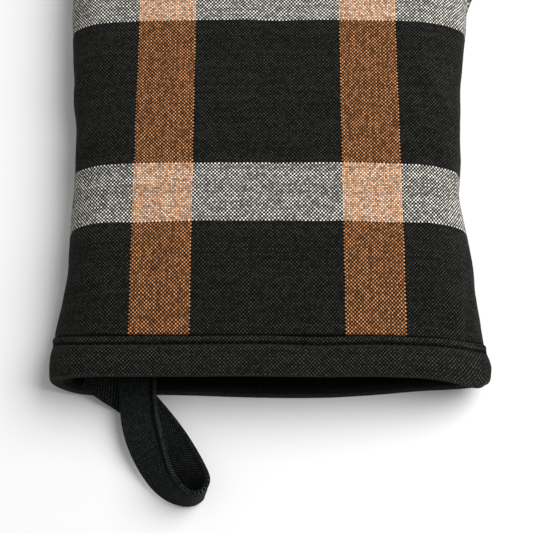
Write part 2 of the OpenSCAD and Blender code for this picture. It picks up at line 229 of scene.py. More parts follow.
def hand_row(j, t):
    """Row j of the hand: (left x, right x, y)."""
    if j <= ROWS_TO_THUMB:
        y = BINDING_TOP * j / CUFF_ROWS
        if j > CUFF_ROWS:
            y = mix(BINDING_TOP, THUMB_BASE_Y, (j - CUFF_ROWS) / (ROWS_TO_THUMB - CUFF_ROWS))
        return left_x(y, t), right_x(y, t), y
    crotch = crotch_at(t)
    if j <= ROW_CROTCH:
        s = (j - ROWS_TO_THUMB) / THUMB_COLUMNS
        y = mix(THUMB_BASE_Y, crotch[1], s)
        return left_x(y, t), mix(right_x(THUMB_BASE_Y, t), crotch[0], s), y
    if j <= ROW_CAP:
        y = mix(crotch[1], CAP_Y, (j - ROW_CROTCH) / ROWS_TO_CAP)
        inner = FINGER_CENTRE_X + FINGER_RADIUS - t
        s = smooth(1.5 * (y - crotch[1]) / (CAP_Y - crotch[1]))
        return left_x(y, t), mix(crotch[0], inner, s), y
    a = CAP_TURN * (j - ROW_CAP) / ROWS_IN_CAP
    reach = (FINGER_RADIUS - t) * math.cos(a)
    y = CAP_Y + (CAP_HEIGHT - t) * math.sin(a)
    return FINGER_CENTRE_X - reach, FINGER_CENTRE_X + reach, y


def thumb_row(m, t):
    """Row m of the thumb: (outer edge point, inner edge point)."""
    r = THUMB_RADIUS - t
    if m <= THUMB_ROWS_TO_TIP:
        s = m / THUMB_ROWS_TO_TIP
        outer, inner = THUMB_CENTRE + THUMB_OUT * r, THUMB_CENTRE - THUMB_OUT * r
        base = np.array([right_x(THUMB_BASE_Y, t), THUMB_BASE_Y])
        crotch = crotch_at(t)
        outer_line = (base, base + OUTER_BASE_HANDLE, outer - THUMB_ALONG * OUTER_END_HANDLE, outer)
        inner_line = (crotch, crotch + INNER_BASE_HANDLE, inner - THUMB_ALONG * INNER_END_HANDLE, inner)
        return bezier(outer_line, s), bezier(inner_line, s)
    a = TIP_TURN * (m - THUMB_ROWS_TO_TIP) / THUMB_ROWS_IN_TIP
    along = THUMB_CENTRE + THUMB_ALONG * r * math.sin(a)
    return along + THUMB_OUT * r * math.cos(a), along - THUMB_OUT * r * math.cos(a)


def column_share():
    """Places of the columns across the hand, 0 to 1, closer together towards the seams."""
    u = np.arange(COLUMNS + 1) / COLUMNS
    return 0.5 * u + 0.25 * (1 - np.cos(np.pi * u))


def plan(t):
    """Plan points of the surface t below the outer face."""
    share = column_share()
    hand = []
    for j in range(ROWS + 1):
        low, high, y = hand_row(j, t)
        hand.append(np.stack([mix(low, high, share), np.full(COLUMNS + 1, y)], 1))
    across = (np.arange(THUMB_COLUMNS + 1) / THUMB_COLUMNS)[:, None]
    thumb = []
    for m in range(1, THUMB_ROWS + 1):
        outer, inner = thumb_row(m, t)
        thumb.append(mix(outer, inner, across))
    return np.concatenate(hand + thumb)


def hand_index(i, j):
    return j * (COLUMNS + 1) + i


def thumb_index(m, k):
    if m == 0:
        return hand_index(COLUMNS, ROWS_TO_THUMB + k)
    return (ROWS + 1) * (COLUMNS + 1) + (m - 1) * (THUMB_COLUMNS + 1) + k


def outline_indices():
    """Round the seam, from the cuff's right corner to its left corner."""
    rim = [hand_index(COLUMNS, j) for j in range(ROWS_TO_THUMB + 1)]
    rim += [thumb_index(m, 0) for m in range(1, THUMB_ROWS + 1)]
    rim += [thumb_index(THUMB_ROWS, k) for k in range(1, THUMB_COLUMNS + 1)]
    rim += [thumb_index(m, THUMB_COLUMNS) for m in range(THUMB_ROWS - 1, 0, -1)]
    rim += [hand_index(COLUMNS, j) for j in range(ROW_CROTCH, ROWS + 1)]
    rim += [hand_index(i, ROWS) for i in range(COLUMNS - 1, -1, -1)]
    return np.array(rim + [hand_index(0, j) for j in range(ROWS - 1, -1, -1)])


def grid_faces():
    """Quads, anticlockwise seen from above."""
    faces = [
        (hand_index(i, j), hand_index(i + 1, j), hand_index(i + 1, j + 1), hand_index(i, j + 1))
        for j in range(ROWS)
        for i in range(COLUMNS)
    ]
    faces += [
        (thumb_index(m, k), thumb_index(m + 1, k), thumb_index(m + 1, k + 1), thumb_index(m, k + 1))
        for m in range(THUMB_ROWS)
        for k in range(THUMB_COLUMNS)
    ]
    return np.array(faces)


RIM = outline_indices()
FACES = grid_faces()


def distance_to_line(points, line):
    """How far each plan point is from a line of plan points."""
    a, v = line[:-1], np.diff(line, axis=0)
    length = (v**2).sum(1)
    best = np.full(len(points), np.inf)
    for start in range(0, len(points), 1000):
        p = points[start : start + 1000, None]
        s = np.clip(((p - a) * v).sum(2) / length, 0, 1)
        far = np.linalg.norm(p - a - v * s[..., None], axis=2)
        best[start : start + 1000] = far.min(1)
    return best


def rise(d, t):
    """How far up its quarter-round a layer is, 0 to 1, at d from the seam."""
    s = np.clip(d / (ROLL - t), 0, 1)
    return np.sqrt(1 - (1 - s) ** 2)


def cuff_share(y):
    """1 under the binding, 0 on the hand."""
    return fade(y, CUFF_FADE_START, CUFF_FADE)


def surface(t, side):
    """Points of the surface t below the outer face, and how far each is from the seam in plan."""
    flat = plan(t)
    d = distance_to_line(flat, flat[RIM])
    d[RIM] = 0
    share = cuff_share(flat[:, 1])
    depth = t * mix(1, CUFF_SQUEEZE, share)
    reach = (TOP_Z - SEAM_Z if side == FRONT else SEAM_Z) - CUFF_LIFT * share
    flange = SHELL_T if t > 0 else 0
    z = SEAM_Z + side * mix(flange, reach - depth, rise(d, t))
    return np.column_stack([flat, z]), d


def lie_down(points):
    """The cuff as it lies: its corners drawn up the mitt, and its front sloping down to the right."""
    x, y, z = points.T
    low = fade(z, MOUTH_Z, MOUTH_BLEND)
    drawn = mix(curve_at(FRONT_DRAWN, x), curve_at(BACK_DRAWN, x), low)
    drawn = drawn * mix(RIM_DRAWN, 1, smooth(y / DRAWN_MOST)) * fade(y, DRAWN_MOST, DRAWN_FADE)
    drawn -= curve_at(FRONT_DIPS, x) * (1 - low) * fade(y, 0, DIP_FADE)
    lower = curve_at(FRONT_LOWER, x) * smooth((z - SEAM_Z) / LOWER_RISE)
    lower = lower * fade(y, LOWER_FADE_START, LOWER_FADE)
    return points + np.column_stack([0 * x, drawn, -lower])


# ---- meshes


def add_object(name, data, location=(0, 0, 0), rotation=(0, 0, 0)):
    made = bpy.data.objects.new(name, data)
    made.location = location
    made.rotation_euler = rotation
    bpy.context.collection.objects.link(made)
    return made


def make_mesh(name, points, faces, material, uvs=None, lies=True):
    """A mesh object from points in millimetres about the cuff; uvs are one pair per point."""
    mesh = bpy.data.meshes.new(name)
    points = np.array(points, float)
    if lies:
        points = lie_down(points)
    mesh.from_pydata((points * MM + ORIGIN).tolist(), [], [list(map(int, f)) for f in faces])
    if uvs is not None:
        corners = np.zeros(len(mesh.loops), int)
        mesh.loops.foreach_get("vertex_index", corners)
        layer = mesh.uv_layers.new(name="pattern")
        layer.data.foreach_set("uv", (np.asarray(uvs) * MM)[corners].ravel())
    mesh.polygons.foreach_set("use_smooth", [True] * len(mesh.polygons))
    mesh.materials.append(material)
    mesh.update()
    return add_object(name, mesh)


def tube_faces(rings, sides):
    """Quads between rings of points, one ring after another."""
    return [
        (r * sides + k, r * sides + (k + 1) % sides, (r + 1) * sides + (k + 1) % sides, (r + 1) * sides + k)
        for r in range(rings - 1)
        for k in range(sides)
    ]


def end_caps(rings, sides):
    last = (rings - 1) * sides
    return [tuple(range(sides - 1, -1, -1)), tuple(range(last, last + sides))]


def joined(shapes):
    """The points and faces of several shapes, as one list of each."""
    points, faces = [], []
    for more, quads in shapes:
        faces += [tuple(i + len(points) for i in quad) for quad in quads]
        points += more
    return points, faces


def thicken(made, thickness, finer=True):
    """Makes a sheet a solid of that thickness, growing inwards, on a finer grid or its own."""
    if finer:
        made.modifiers.new("finer", "SUBSURF").boundary_smooth = "PRESERVE_CORNERS"
    solid = made.modifiers.new("solid", "SOLIDIFY")
    solid.thickness = thickness * MM
    solid.offset = -1
    bpy.context.view_layer.objects.active = made
    for modifier in list(made.modifiers):
        bpy.ops.object.modifier_apply(modifier=modifier.name)


def oriented(faces, side):
    """The front's faces as they are; the back's turned over, so that they look down."""
    return faces if side == FRONT else faces[:, ::-1]


def pattern_uvs(points):
    """Pattern coordinates: the length along each row from the centre line, and the height up the mitt."""
    n = (ROWS + 1) * (COLUMNS + 1)
    hand = points[:n].reshape(ROWS + 1, COLUMNS + 1, 3)
    step = np.linalg.norm(np.diff(hand, axis=1), axis=2)
    run = np.concatenate([np.zeros((ROWS + 1, 1)), np.cumsum(step, axis=1)], axis=1)
    middle = COLUMNS // 2
    u = run - run[:, middle : middle + 1] + hand[:, middle : middle + 1, 0]
    uvs = np.stack([u, hand[:, :, 1]], 2).reshape(-1, 2)
    base = hand_index(COLUMNS, ROWS_TO_THUMB)
    return np.concatenate([uvs, points[n:, :2] + np.array([uvs[base, 0] - points[base, 0], 0])])


# ---- cloth simulation of the outer bag

CLOTH_SETTINGS = dict(
    quality=6, mass=0.3, tension_stiffness=25, compression_stiffness=25, shear_stiffness=8,
    bending_stiffness=0.15, air_damping=3, use_pressure=True, uniform_pressure_force=6,
    vertex_group_mass="pin", vertex_group_shrink="tight", shrink_min=0.0, shrink_max=0.06,
)
SETTLING_FRAMES = 18
# The seam is tight over a width, and the cloth above the binding a little less so over another
SEAM_PULL_WIDTH = 5
CUFF_PULL, CUFF_PULL_WIDTH = 0.8, 9
# Puckers are what the settled shape has beyond a smoothing, made gentler; sideways they keep to
# the seam, and upwards they are strongest there
SMOOTHING_ROUNDS, MOST_PUCKER, PUCKER_SHARE = 40, 1.5, 0.75
SIDEWAYS_SHARE, SIDEWAYS_WIDTH, UPWARDS_SHARE, UPWARDS_WIDTH = 0.5, 16, 0.45, 22
# The sewn cloth's crown, the groove along its seam, and its outline's ripples: height, length, seed
FRONT_CROWN = 1.2
CROWN_FROM, CROWN_REACH = 10, 60
SEAM_GROOVE, SEAM_GROOVE_WIDTH = 0.9, 1.6
OUTLINE_RIPPLES = [(0.4, 26, 1), (0.3, 8, 2)]
OUTLINE_WIDTH = 9


def spread(values, faces, rounds):
    """Smooths one value per point over the mesh."""
    edges = np.concatenate([faces[:, [a, (a + 1) % 4]] for a in range(4)])
    edges = np.concatenate([edges, edges[:, ::-1]])
    count = np.bincount(edges[:, 0], minlength=len(values)).reshape(-1, 1)
    for _ in range(rounds):
        total = np.zeros_like(values)
        np.add.at(total, edges[:, 0], values[edges[:, 1]])
        values = 0.5 * values + 0.5 * total / np.maximum(count, 1)
    return values


def vertex_group(made, name, weights):
    group = made.vertex_groups.new(name=name)
    for i, weight in enumerate(weights):
        if weight > 0:
            group.add([i], float(weight), "REPLACE")


def settle(bag, points):
    """Runs the cloth simulation on the bag, removes it, and returns how far its points moved."""
    cloth = bag.modifiers.new("cloth", "CLOTH")
    for key, value in CLOTH_SETTINGS.items():
        setattr(cloth.settings, key, value)
    cloth.settings.effector_weights.gravity = 0
    cloth.collision_settings.use_collision = False
    cloth.collision_settings.use_self_collision = False
    scene = bpy.context.scene
    for f in range(1, SETTLING_FRAMES + 1):
        scene.frame_set(f)
    settled = bag.evaluated_get(bpy.context.evaluated_depsgraph_get())
    moved = np.zeros(3 * len(points))
    settled.to_mesh().vertices.foreach_get("co", moved)
    settled.to_mesh_clear()
    bpy.data.objects.remove(bag)
    scene.frame_set(1)
    return (moved.reshape(-1, 3) - ORIGIN) / MM - points


def simulated_puckers(front, back, seam_distance):
    """Sews the outer cloth into a bag, tightens its seam and the cuff, lets it settle as cloth
    under a little pressure, and returns how the settled bag differs from its own smooth shape."""
    n = len(front)
    used = np.setdiff1d(np.arange(n), RIM)
    # Where each point of the front, and then of the back, is in the bag; the two share their rim
    welded = np.arange(2 * n)
    welded[used + n] = n + np.arange(len(used))
    welded[RIM + n] = RIM
    points = np.concatenate([front, back[used]])
    faces = np.concatenate([FACES, welded[FACES + n][:, ::-1]])
    mouth_front = [hand_index(i, 0) for i in range(COLUMNS + 1)]
    mouth_back = [welded[i + n] for i in mouth_front]
    cap = [
        (mouth_front[i], mouth_back[i], mouth_back[i + 1], mouth_front[i + 1])
        for i in range(1, COLUMNS - 1)
    ]
    bag = make_mesh("settling_bag", points, list(faces) + cap, bpy.data.materials.new("plain"), lies=False)
    y = points[:, 1]
    d = np.concatenate([seam_distance[FRONT], seam_distance[BACK][used]])
    vertex_group(bag, "pin", y <= BINDING_TOP + 0.1)
    cuff_pull = CUFF_PULL * bell(y - BINDING_TOP, CUFF_PULL_WIDTH)
    vertex_group(bag, "tight", np.maximum(bell(d, SEAM_PULL_WIDTH), cuff_pull))
    moved = settle(bag, points)
    fine = moved - spread(moved, faces, SMOOTHING_ROUNDS)
    size = np.linalg.norm(fine, axis=1, keepdims=True)
    fine *= PUCKER_SHARE * np.minimum(1, MOST_PUCKER / np.maximum(size, 1e-6))
    fine *= smooth((y - BINDING_TOP) / 3)[:, None]
    fine[:, :2] *= SIDEWAYS_SHARE * bell(d, SIDEWAYS_WIDTH)[:, None]
    fine[:, 2] *= mix(UPWARDS_SHARE, 1, bell(d, UPWARDS_WIDTH))
    return {FRONT: fine[:n], BACK: fine[welded[n:]]}


def cloth_surface(side):
    """The outer cloth before it settles: crowned a little, its outline uneven, its seam drawn in."""
    points, d = surface(0, side)
    if side == FRONT:
        crown = smooth((d - CROWN_FROM) / CROWN_REACH) * (1 - cuff_share(points[:, 1]))
        points[:, 2] += FRONT_CROWN * crown
    line = points[RIM][:, :2]
    away = unit(np.gradient(line, axis=0))
    outward = np.stack([away[:, 1], -away[:, 0]], 1)
    nearest = np.array([np.argmin(((line - p) ** 2).sum(1)) for p in points[:, :2]])
    flat_line = np.column_stack([line, np.zeros(len(line))])
    wobble = sum(height * ripple(flat_line, size, seed) for height, size, seed in OUTLINE_RIPPLES)
    near = bell(d, OUTLINE_WIDTH) * smooth((points[:, 1] - 18) / 20)
    points[:, :2] += outward[nearest] * (near * wobble[nearest])[:, None]
    groove = SEAM_GROOVE * bell(d, SEAM_GROOVE_WIDTH) * smooth((points[:, 1] - 22) / 20)
    points[:, :2] -= outward[nearest] * groove[:, None]
    return points, d


# ---- materials


SPECULAR = 0.06
SHEEN_ROUGHNESS = 0.45


class Graph:
    """Builds one material's nodes; every value is a socket, a number or a colour."""

    def __init__(self, name, roughness, sheen=0.0):
        self.material = bpy.data.materials.new(name)
        self.material.use_nodes = True
        self.tree = self.material.node_tree
        self.shader = next(n for n in self.tree.nodes if n.type == "BSDF_PRINCIPLED")
        self.shader.inputs["Roughness"].default_value = roughness
        self.shader.inputs["Specular IOR Level"].default_value = SPECULAR
        self.shader.inputs["Sheen Weight"].default_value = sheen
        self.shader.inputs["Sheen Roughness"].default_value = SHEEN_ROUGHNESS
        self.shader.inputs["Sheen Tint"].default_value = (1, 1, 1, 1)

    def put(self, socket, value):
        if isinstance(value, bpy.types.NodeSocket):
            self.tree.links.new(value, socket)
        elif isinstance(value, tuple):  # a colour, on a socket with or without alpha
            socket.default_value = (*value, 1.0)[: len(socket.default_value)]
        else:
            socket.default_value = value

    def node(self, kind, values=(), **settings):
        made = self.tree.nodes.new(kind)
        for key, value in settings.items():
            setattr(made, key, value)
        for key, value in dict(values).items():
            self.put(made.inputs[key], value)
        return made

    def math(self, operation, *values):
        made = self.node("ShaderNodeMath", operation=operation)
        for socket, value in zip(made.inputs, values):
            self.put(socket, value)
        return made.outputs[0]

    def times(self, a, b):
        return self.math("MULTIPLY", a, b)

    def minus(self, a, b):
        return self.math("SUBTRACT", a, b)

    def xyz(self, x, y, z=0.0):
        return self.node("ShaderNodeCombineXYZ", {0: x, 1: y, 2: z}).outputs[0]

    def split(self, vector):
        return self.node("ShaderNodeSeparateXYZ", {0: vector}).outputs

    def noise(self, vector, scale=1.0, detail=1.0, distortion=0.0):
        values = {"Vector": vector, "Scale": scale, "Detail": detail, "Distortion": distortion}
        return self.node("ShaderNodeTexNoise", values).outputs["Fac"]

    def random(self, value, socket="W", kind="1D"):
        made = self.node("ShaderNodeTexWhiteNoise", {socket: value}, noise_dimensions=kind)
        return made.outputs["Value"]

    def pattern(self):
        """The cloth's own coordinates, across its threads and along them."""
        return self.split(self.node("ShaderNodeUVMap", uv_map="pattern").outputs[0])

    def choose(self, factor, a, b):
        return self.node("ShaderNodeMix", {0: factor, 2: a, 3: b}).outputs[0]

    def from_middle(self, value):
        """How far a value is from the middle of its whole number: 0 there, 1 at the whole numbers."""
        off = self.minus(self.math("FRACT", value), 0.5)
        return self.times(self.math("ABSOLUTE", off), 2.0)

    def blend(self, factor, a, b, mode="MIX"):
        made = self.node("ShaderNodeMix", data_type="RGBA", blend_type=mode)
        self.put(made.inputs[0], factor)
        self.put(made.inputs[6], a)
        self.put(made.inputs[7], b)
        return made.outputs[2]

    def scale_colour(self, colour, factor):
        made = self.node("ShaderNodeVectorMath", {0: colour, "Scale": factor}, operation="SCALE")
        return made.outputs[0]

    def remap(self, value, low, high):
        return self.node("ShaderNodeMapRange", {0: value, 1: 0.0, 2: 1.0, 3: low, 4: high}).outputs[0]

    def finish(self, colour, height=None, depth=0.0):
        """The material in that colour, with a height map that is depth millimetres deep."""
        self.put(self.shader.inputs["Base Color"], colour)
        if height is not None:
            bump = self.node("ShaderNodeBump", {"Height": height, "Distance": depth * MM, "Strength": 1.0})
            self.put(self.shader.inputs["Normal"], bump.outputs[0])
        return self.material


# Threads wander by this much of their spacing, over slow noise along and across them
WANDER = 0.35
WANDER_ALONG, WANDER_ACROSS = 0.09, 0.05
# How sharply a thread's top rounds off to its sides and its ends, and how far down its ends go
SIDE_ROUNDING, END_ROUNDING, END_DROP = 3.5, 4.0, 0.5
# Dark yarns, painted lit and shaded: the weft paler than the warp, but shaded where it crosses a stripe
SHADED_DARK_WARP, LIT_DARK_WEFT, SHADED_WEFT_IN_STRIPE = 0.15, 2.15, 0.5
# Where two bright yarns cross, a warm tint is painted on: painted light bounced from each onto the other
CROSSING_TINT = (1.12, 0.98, 0.84)
# Range of brightness from thread to thread, along one thread, and from crossing to crossing
THREAD_TONES, SLUB_TONES, FLOAT_TONES = (0.8, 1.2), (0.6, 1.4), (0.5, 1.5)
FLOAT_GAIN, MOST_SHADE = 1.3, 1.8


def stripe(graph, thread, thread_pitch, pitch, middle, half):
    """1 on the threads inside a stripe that repeats every pitch, 0 between."""
    place = graph.times(thread, thread_pitch)
    from_middle = graph.minus(place, middle - pitch / 2)
    wrapped = graph.math("FLOORED_MODULO", from_middle, pitch)
    off = graph.math("ABSOLUTE", graph.minus(wrapped, pitch / 2))
    return graph.math("LESS_THAN", off, half)


def wander(graph, along, across, seed):
    """Threads are never quite straight: along, shifted by slow noise."""
    slow_along = graph.times(along, WANDER_ALONG)
    place = graph.xyz(slow_along, graph.times(across, WANDER_ACROSS), seed)
    return graph.math("ADD", along, graph.remap(graph.noise(place), -WANDER, WANDER))


def float_shape(graph, across, along):
    """The rounded top of a thread where it lies over another: 1 on its crest, 0 at its sides."""
    side = graph.math("POWER", graph.from_middle(across), SIDE_ROUNDING)
    end = graph.times(graph.math("POWER", graph.from_middle(along), END_ROUNDING), END_DROP)
    return graph.times(graph.minus(1.0, side), graph.minus(1.0, end))


def yarn_tone(graph, thread, along):
    """Brightness of one thread: each differs a little, and is thicker and thinner along its length."""
    slub = graph.noise(graph.xyz(graph.times(thread, 3.17), graph.times(along, 0.06)), detail=2.0)
    each = graph.remap(graph.random(thread), *THREAD_TONES)
    return graph.times(each, graph.remap(slub, *SLUB_TONES))


def plain_weave(graph, dark, warp_stripe=None, weft_stripe=None, scale=1.0):
    """Colour and height of a plain weave over the pattern coordinates.
    A stripe is (colour, where), with where as for stripe()."""
    place = graph.pattern()
    straight_x = graph.times(place[0], 1 / (MM * WARP_PITCH * scale))
    straight_y = graph.times(place[1], 1 / (MM * WEFT_PITCH * scale))
    x = wander(graph, straight_x, straight_y, 0.0)
    y = wander(graph, straight_y, straight_x, 7.0)
    warp, weft = graph.math("FLOOR", x), graph.math("FLOOR", y)
    warp_up = graph.math("FLOORED_MODULO", graph.math("ADD", warp, weft), 2.0)
    height = graph.choose(warp_up, float_shape(graph, y, x), float_shape(graph, x, y))
    # The dark warp is painted in shade and the dark weft painted lit
    warp_colour = graph.scale_colour(dark, SHADED_DARK_WARP)
    weft_colour = graph.scale_colour(dark, LIT_DARK_WEFT)
    if warp_stripe:
        in_warp = stripe(graph, warp, WARP_PITCH, **warp_stripe[1])
        in_weft = stripe(graph, weft, WEFT_PITCH, **weft_stripe[1])
        warp_colour = graph.blend(in_warp, warp_colour, warp_stripe[0])
        # Inside a warp stripe the dark weft is painted in shade
        weft_colour = graph.blend(in_warp, weft_colour, graph.scale_colour(dark, SHADED_WEFT_IN_STRIPE))
        weft_colour = graph.blend(in_weft, weft_colour, weft_stripe[0])
    colour = graph.blend(warp_up, weft_colour, warp_colour)
    if warp_stripe:
        # Painted warm bounce light where bright stripes cross
        crossing = graph.times(in_warp, in_weft)
        colour = graph.blend(crossing, colour, CROSSING_TINT, "MULTIPLY")
    tone = graph.choose(warp_up, yarn_tone(graph, weft, x), yarn_tone(graph, warp, y))
    each_float = graph.remap(graph.random(graph.xyz(warp, weft), "Vector", "2D"), *FLOAT_TONES)
    gain = graph.times(each_float, FLOAT_GAIN)
    shade = graph.times(graph.times(height, tone), gain)
    return graph.scale_colour(colour, graph.math("MINIMUM", shade, MOST_SHADE)), height


DARK = (0.0109, 0.0115, 0.0096)
RUST = (0.405, 0.168, 0.063)
CREAM = (0.54, 0.52, 0.475)
BINDING_COLOUR = (0.0121, 0.013, 0.0105)
STRAP_COLOUR = (0.0093, 0.0115, 0.0105)
# The lining cloth is dark, and made darker still as painted shade inside the mitt's mouth
LINING_COLOUR = (0.0025, 0.0026, 0.0024)
THREAD_COLOUR = (0.0055, 0.0058, 0.0052)
WADDING_DARK, WADDING_LIGHT = (0.62, 0.6, 0.54), (0.8, 0.78, 0.72)
CLOTH_ROUGHNESS = 0.95
# Loose fibres standing off the yarns, which catch the light where the cloth turns away
FUZZ = 0.03
# Depths of the height maps
WEAVE_DEPTH, WADDING_DEPTH, TWIST_DEPTH = 0.2, 0.5, 0.08
# The back's stripes are cut this much further across than the front's
BACK_SHIFT = 21
# The shadow of the binding's upper fold on the cloth: its height up the mitt and half its width
FOLD_SHADOW = (16.4, 1.6)
GROOVE_STRENGTH, GROOVE_DARKEST = 1.6, 0.96
# Half the width of the painted highlights along folds
FOLD_HALF_WIDTH = 0.6
# Painted shade on the binding's inner side, inside the mitt's mouth
INSIDE_SHADE_DARKENING = 0.85


def near_line(graph, along, place, half_width):
    """1 on a line across the pattern at place, falling to 0 at half_width from it; millimetres."""
    off = graph.math("ABSOLUTE", graph.minus(along, place))
    return graph.minus(1.0, graph.math("MINIMUM", graph.math("DIVIDE", off, half_width), 1.0))


def shadow_line(graph, along, place, half_width):
    """Brightness by a groove at place: nearly 0 in its middle, 1 away from it."""
    line = graph.times(near_line(graph, along, place, half_width), GROOVE_STRENGTH)
    return graph.minus(1.0, graph.math("MINIMUM", line, GROOVE_DARKEST))


def plaid_material(name, warp_middle):
    """Plaid cloth, in shadow where the binding's upper fold lies on it."""
    graph = Graph(name, CLOTH_ROUGHNESS, FUZZ)
    warp = (RUST, dict(WARP_STRIPE, middle=warp_middle))
    colour, height = plain_weave(graph, DARK, warp, (CREAM, WEFT_STRIPE))
    shade = shadow_line(graph, graph.math("DIVIDE", graph.pattern()[1], MM), *FOLD_SHADOW)
    return graph.finish(graph.scale_colour(colour, shade), height, WEAVE_DEPTH)


def dark_cloth_material(name, dark):
    graph = Graph(name, CLOTH_ROUGHNESS, FUZZ)
    return graph.finish(*plain_weave(graph, dark), WEAVE_DEPTH)


def folded_cloth_material(name, dark, grooves, lit_folds, inside=1000.0, axis=1, scale=1.0):
    """Dark cloth with shadowed grooves, each (place, half its width), and painted highlights on folds, each
    (place, how much lighter). Places are along the pattern's axis; beyond inside, painted shade darkens it."""
    graph = Graph(name, CLOTH_ROUGHNESS, FUZZ)
    colour, height = plain_weave(graph, dark, scale=scale)
    place = graph.pattern()
    along = graph.math("DIVIDE", place[axis], MM)
    shade = 1.0
    for groove, half_width in grooves:
        shade = graph.times(shade, shadow_line(graph, along, groove, half_width))
    # Painted highlights along the folds, patchy along their length
    patchy = graph.noise(graph.xyz(place[0], place[1]), 350.0, 2.0)
    for fold, highlight in lit_folds:
        line = near_line(graph, along, fold, FOLD_HALF_WIDTH)
        shade = graph.math("ADD", shade, graph.times(line, graph.remap(patchy, 0.1, highlight)))
    # Past inside, the cloth is darkened as painted shade
    shaded_inside = graph.times(graph.math("GREATER_THAN", along, inside), INSIDE_SHADE_DARKENING)
    shade = graph.times(shade, graph.minus(1.0, shaded_inside))
    return graph.finish(graph.scale_colour(colour, shade), height, WEAVE_DEPTH * scale)


def wadding_material():
    graph = Graph("wadding", roughness=1.0, sheen=0.2)
    place = graph.node("ShaderNodeTexCoord").outputs["Object"]
    clumps = graph.noise(place, 160.0, 3.0)
    fibres = graph.noise(place, 900.0, 4.0, 2.5)
    colour = graph.blend(clumps, WADDING_DARK, WADDING_LIGHT)
    return graph.finish(graph.scale_colour(colour, graph.remap(fibres, 0.8, 1.15)), fibres, WADDING_DEPTH)


def thread_material(name, colour):
    graph = Graph(name, roughness=0.7, sheen=0.1)
    place = graph.node("ShaderNodeTexCoord").outputs["Object"]
    twist = graph.node(
        "ShaderNodeTexWave", {"Vector": place, "Scale": 900.0, "Distortion": 1.0}, bands_direction="DIAGONAL"
    ).outputs["Fac"]
    return graph.finish(graph.scale_colour(colour, graph.remap(twist, 0.6, 1.3)), twist, TWIST_DEPTH)


# ---- outer cloth, padding and lining


def inside_fold(points):
    """The same points with the cuff's edge drawn back from the binding's fold."""
    drawn = EDGE_INSIDE * np.clip(1 - points[:, 1] / BINDING_TOP, 0, 1)
    return points + np.column_stack([0 * drawn, drawn, 0 * drawn])


def lining(name, side, material):
    """One side's lining, and the points of its outer face."""
    points, _ = surface(LINING_DEPTH, side)
    made = make_mesh(name, inside_fold(points), oriented(FACES, side), material, pattern_uvs(points))
    thicken(made, CAVITY_DEPTH - LINING_DEPTH, finer=False)
    return made, points


# Height of the back above the surface that it lies on
CLEARANCE = 0.15
# The padding keeps this far inside the outer cloth, and reaches this far into the lining
PADDING_GAP, PADDING_OVERLAP = 0.6, 0.15


def outer_cloth(name, side, points, puckers, material):
    """One side's outer cloth, and the points that it has settled to."""
    points = points + puckers
    points[:, 2] = np.maximum(points[:, 2], CLEARANCE)
    uvs = pattern_uvs(surface(0, side)[0])
    made = make_mesh(name, inside_fold(points), oriented(FACES, side), material, uvs)
    thicken(made, SHELL_T)
    return made, points


def padding(name, side, settled, material):
    """Wadding: the space between the settled outer cloth and the lining."""
    outer, _ = surface(SHELL_T + PADDING_GAP, side)
    outer += settled - surface(0, side)[0]
    inner, _ = surface(LINING_DEPTH - PADDING_OVERLAP, side)
    n = len(outer)
    loop = [*RIM, *[hand_index(i, 0) for i in range(1, COLUMNS)]]
    wall = [(loop[k], loop[k - 1], loop[k - 1] + n, loop[k] + n) for k in range(len(loop))]
    faces = np.concatenate([FACES, FACES[:, ::-1] + n, np.array(wall)])
    return make_mesh(name, inside_fold(np.concatenate([outer, inner])), oriented(faces, side), material)


# ---- cuff binding

RING_STEPS = 420
# Height up the mitt and distance out from the cloth, round the binding's outer side
OUTER_PROFILE = [
    (15.2, 0.1), (15.9, 0.5), (16.1, 1.1), (15.8, 1.6), (15.1, 1.75), (14.3, 1.6), (13.8, 1.1),
    (13.4, 0.45), (13, 0.15), (12.6, 0.3), (12.3, 0.9), (11.7, 1.5), (10.4, 1.9), (7.5, 2.15),
    (4.8, 2.15), (2.6, 2), (1, 1.9), (0, 1.85),
]
# The same round the fold and up the inner side: height, share of the way in, distance out
FOLD_PROFILE = [
    (-0.6, 0.02, 1.6), (-0.85, 0.1, 1), (-0.6, 0.28, 0.3), (0, 0.5, 0), (0.8, 0.7, 0), (1.5, 0.88, 0),
]
INNER_HEIGHTS = (2.4, 5, 8, 11, 15)
# Rows on the upper edge, its crest, the stitched groove and the fold, and the first one hidden inside
EDGE_ROW, CREST_ROW, GROOVE_ROW, FOLD_ROW = 1, 5, 8, len(OUTER_PROFILE)
INSIDE_ROW = FOLD_ROW + 3
GROOVE_Y = 13
BINDING_T = 0.75
# The binding's inner side: how far in from the seam, and inside the cavity's wall
INNER_INSET, INNER_GAP = 8.1, 1.1
# The rim wanders up and down the mitt, and the sewn upper edge more than the fold
SAG, SAG_SIZE, SEWN_SAG = 0.35, 34, 2.2
# Puckers: fine ones everywhere, stronger ones by the stitches, and long soft ones
FINE_PUCKER, STITCH_PUCKER, SOFT_PUCKER = 0.05, 0.25, 0.2
# At the mitt's two sides the binding is pulled tighter, but below its top keeps off the cloth
SIDE_TIGHTNESS, SIDE_DISTANCE, LEAST_DISTANCE = 0.5, 0.6, 0.03
# Share of the ring's steps that are even; the rest crowd towards the mitt's two sides
EVEN_SHARE = 0.45


def ring_share(n):
    """Place of step n round the ring: 0 to 1 over the front, 1 to 2 back under the back."""
    q = 2 * n / RING_STEPS
    u = min(q, 2 - q)
    share = EVEN_SHARE * u + (1 - EVEN_SHARE) / 2 * (1 - math.cos(math.pi * u))
    return share if q <= 1 else 2 - share


